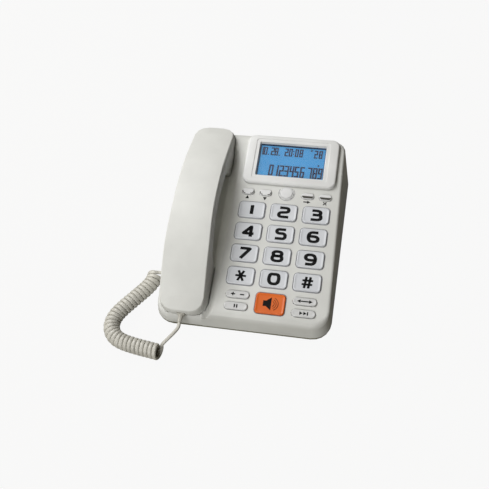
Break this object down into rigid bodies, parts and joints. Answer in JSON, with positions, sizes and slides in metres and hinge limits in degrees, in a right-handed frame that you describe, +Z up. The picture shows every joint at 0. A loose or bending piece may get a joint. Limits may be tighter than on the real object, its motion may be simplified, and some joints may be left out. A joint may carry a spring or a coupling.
{
  "type": "corded desk telephone",
  "caption": "Cream corded desk telephone with large square keys, a tilted blue display, an arched handset in a side cradle and a curly cord.",
  "frame": {"origin": "on the table, under the middle of the base", "axes": "+X to the right of someone using it, +Y to the back, +Z up"},
  "size_m": [0.225, 0.2567, 0.0821],
  "materials": {
    "cream_plastic": "cream-white moulded ABS, fine satin texture",
    "shaded_plastic": "cream-grey moulded ABS, matte",
    "key_plastic": "pale grey moulded key caps, satin",
    "orange_plastic": "orange moulded key cap, satin",
    "window": "clear acrylic window, gloss",
    "lcd": "blue-lit LCD, smooth",
    "rubber": "dark silicone rubber, matte",
    "board": "green glass-fibre board",
    "black_plastic": "black moulded plastic, matte",
    "socket_plastic": "off-white nylon, matte",
    "cord_vinyl": "cream vinyl sleeve, semi-gloss",
    "cell": "printed metal jacket, satin",
    "steel": "zinc-plated steel"
  },
  "bodies": {
    "base": {"base_plug": "cord_vinyl", "battery_1": "cell", "battery_2": "cell", "battery_3": "cell", "cord_jack": "socket_plastic", "curly_cord": "cord_vinyl", "display_panel": "cream_plastic", "display_window": "window", "foot_back_left": "rubber", "foot_back_right": "rubber", "foot_front_left": "rubber", "foot_front_right": "rubber", "hook_switch": "black_plastic", "keypad_mat": "rubber", "lcd_module": "lcd", "line_jack": "socket_plastic", "loudspeaker": "black_plastic", "lower_case": "shaded_plastic", "main_board": "board", "screw_back_left": "steel", "screw_back_right": "steel", "screw_front_left": "steel", "screw_front_right": "steel", "upper_case": "cream_plastic"},
    "handset": {"handset_back": "cream_plastic", "handset_front": "cream_plastic", "ear_receiver": "black_plastic", "microphone": "black_plastic", "handset_jack": "socket_plastic", "handset_weight": "steel", "handset_screw_ear": "steel", "handset_screw_mouth": "steel", "handset_plug": "cord_vinyl"},
    "hook": {"hook_plunger": "cream_plastic", "hook_spring": "steel"},
    "delete_key": {"delete_key": "key_plastic"},
    "down_key": {"down_key": "key_plastic"},
    "flash_key": {"flash_key": "key_plastic"},
    "hold_key": {"hold_key": "key_plastic"},
    "key_0": {"key_0": "key_plastic"},
    "key_1": {"key_1": "key_plastic"},
    "key_2": {"key_2": "key_plastic"},
    "key_3": {"key_3": "key_plastic"},
    "key_4": {"key_4": "key_plastic"},
    "key_5": {"key_5": "key_plastic"},
    "key_6": {"key_6": "key_plastic"},
    "key_7": {"key_7": "key_plastic"},
    "key_8": {"key_8": "key_plastic"},
    "key_9": {"key_9": "key_plastic"},
    "key_hash": {"key_hash": "key_plastic"},
    "key_star": {"key_star": "key_plastic"},
    "out_key": {"out_key": "key_plastic"},
    "redial_key": {"redial_key": "key_plastic"},
    "round_key": {"round_key": "key_plastic"},
    "speaker_key": {"speaker_key": "orange_plastic"},
    "up_key": {"up_key": "key_plastic"},
    "volume_key": {"volume_key": "key_plastic"},
    "battery_door": {"battery_door": "shaded_plastic"}
  },
  "joints": [
    {"name": "handset_lift", "type": "slide", "parent": "base", "child": "handset", "axis": [0, -0.1736, 0.9848], "range_m": [0, 0.06]},
    {"name": "delete_key_press", "type": "slide", "parent": "base", "child": "delete_key", "axis": [0, 0.1736, -0.9848], "range_m": [0, 0.0016], "stiffness_N_per_m": 400, "deforming": ["keypad_mat"]},
    {"name": "down_key_press", "type": "slide", "parent": "base", "child": "down_key", "axis": [0, 0.1736, -0.9848], "range_m": [0, 0.0016], "stiffness_N_per_m": 400, "deforming": ["keypad_mat"]},
    {"name": "flash_key_press", "type": "slide", "parent": "base", "child": "flash_key", "axis": [0, 0.1736, -0.9848], "range_m": [0, 0.0016], "stiffness_N_per_m": 400, "deforming": ["keypad_mat"]},
    {"name": "hold_key_press", "type": "slide", "parent": "base", "child": "hold_key", "axis": [0, 0.1736, -0.9848], "range_m": [0, 0.0016], "stiffness_N_per_m": 400, "deforming": ["keypad_mat"]},
    {"name": "key_0_press", "type": "slide", "parent": "base", "child": "key_0", "axis": [0, 0.1736, -0.9848], "range_m": [0, 0.0016], "stiffness_N_per_m": 400, "deforming": ["keypad_mat"]},
    {"name": "key_1_press", "type": "slide", "parent": "base", "child": "key_1", "axis": [0, 0.1736, -0.9848], "range_m": [0, 0.0016], "stiffness_N_per_m": 400, "deforming": ["keypad_mat"]},
    {"name": "key_2_press", "type": "slide", "parent": "base", "child": "key_2", "axis": [0, 0.1736, -0.9848], "range_m": [0, 0.0016], "stiffness_N_per_m": 400, "deforming": ["keypad_mat"]},
    {"name": "key_3_press", "type": "slide", "parent": "base", "child": "key_3", "axis": [0, 0.1736, -0.9848], "range_m": [0, 0.0016], "stiffness_N_per_m": 400, "deforming": ["keypad_mat"]},
    {"name": "key_4_press", "type": "slide", "parent": "base", "child": "key_4", "axis": [0, 0.1736, -0.9848], "range_m": [0, 0.0016], "stiffness_N_per_m": 400, "deforming": ["keypad_mat"]},
    {"name": "key_5_press", "type": "slide", "parent": "base", "child": "key_5", "axis": [0, 0.1736, -0.9848], "range_m": [0, 0.0016], "stiffness_N_per_m": 400, "deforming": ["keypad_mat"]},
    {"name": "key_6_press", "type": "slide", "parent": "base", "child": "key_6", "axis": [0, 0.1736, -0.9848], "range_m": [0, 0.0016], "stiffness_N_per_m": 400, "deforming": ["keypad_mat"]},
    {"name": "key_7_press", "type": "slide", "parent": "base", "child": "key_7", "axis": [0, 0.1736, -0.9848], "range_m": [0, 0.0016], "stiffness_N_per_m": 400, "deforming": ["keypad_mat"]},
    {"name": "key_8_press", "type": "slide", "parent": "base", "child": "key_8", "axis": [0, 0.1736, -0.9848], "range_m": [0, 0.0016], "stiffness_N_per_m": 400, "deforming": ["keypad_mat"]},
    {"name": "key_9_press", "type": "slide", "parent": "base", "child": "key_9", "axis": [0, 0.1736, -0.9848], "range_m": [0, 0.0016], "stiffness_N_per_m": 400, "deforming": ["keypad_mat"]},
    {"name": "key_hash_press", "type": "slide", "parent": "base", "child": "key_hash", "axis": [0, 0.1736, -0.9848], "range_m": [0, 0.0016], "stiffness_N_per_m": 400, "deforming": ["keypad_mat"]},
    {"name": "key_star_press", "type": "slide", "parent": "base", "child": "key_star", "axis": [0, 0.1736, -0.9848], "range_m": [0, 0.0016], "stiffness_N_per_m": 400, "deforming": ["keypad_mat"]},
    {"name": "out_key_press", "type": "slide", "parent": "base", "child": "out_key", "axis": [0, 0.1736, -0.9848], "range_m": [0, 0.0016], "stiffness_N_per_m": 400, "deforming": ["keypad_mat"]},
    {"name": "redial_key_press", "type": "slide", "parent": "base", "child": "redial_key", "axis": [0, 0.1736, -0.9848], "range_m": [0, 0.0016], "stiffness_N_per_m": 400, "deforming": ["keypad_mat"]},
    {"name": "round_key_press", "type": "slide", "parent": "base", "child": "round_key", "axis": [0, 0.1736, -0.9848], "range_m": [0, 0.0016], "stiffness_N_per_m": 400, "deforming": ["keypad_mat"]},
    {"name": "speaker_key_press", "type": "slide", "parent": "base", "child": "speaker_key", "axis": [0, 0.1736, -0.9848], "range_m": [0, 0.0016], "stiffness_N_per_m": 400, "deforming": ["keypad_mat"]},
    {"name": "up_key_press", "type": "slide", "parent": "base", "child": "up_key", "axis": [0, 0.1736, -0.9848], "range_m": [0, 0.0016], "stiffness_N_per_m": 400, "deforming": ["keypad_mat"]},
    {"name": "volume_key_press", "type": "slide", "parent": "base", "child": "volume_key", "axis": [0, 0.1736, -0.9848], "range_m": [0, 0.0016], "stiffness_N_per_m": 400, "deforming": ["keypad_mat"]},
    {"name": "hook_rise", "type": "slide", "parent": "base", "child": "hook", "axis": [0, -0.1736, 0.9848], "range_m": [0, 0.005], "deforming": ["hook_spring"]},
    {"name": "battery_door_open", "type": "hinge", "parent": "base", "child": "battery_door", "pos_m": [0.04785, 0.0698, 0.0036], "axis": [1, 0, 0], "range_deg": [0, 75]}
  ],
  "couplings": [
    {"joint": "hook_rise", "follows": "handset_lift", "ratio": 0.083333}
  ]
}
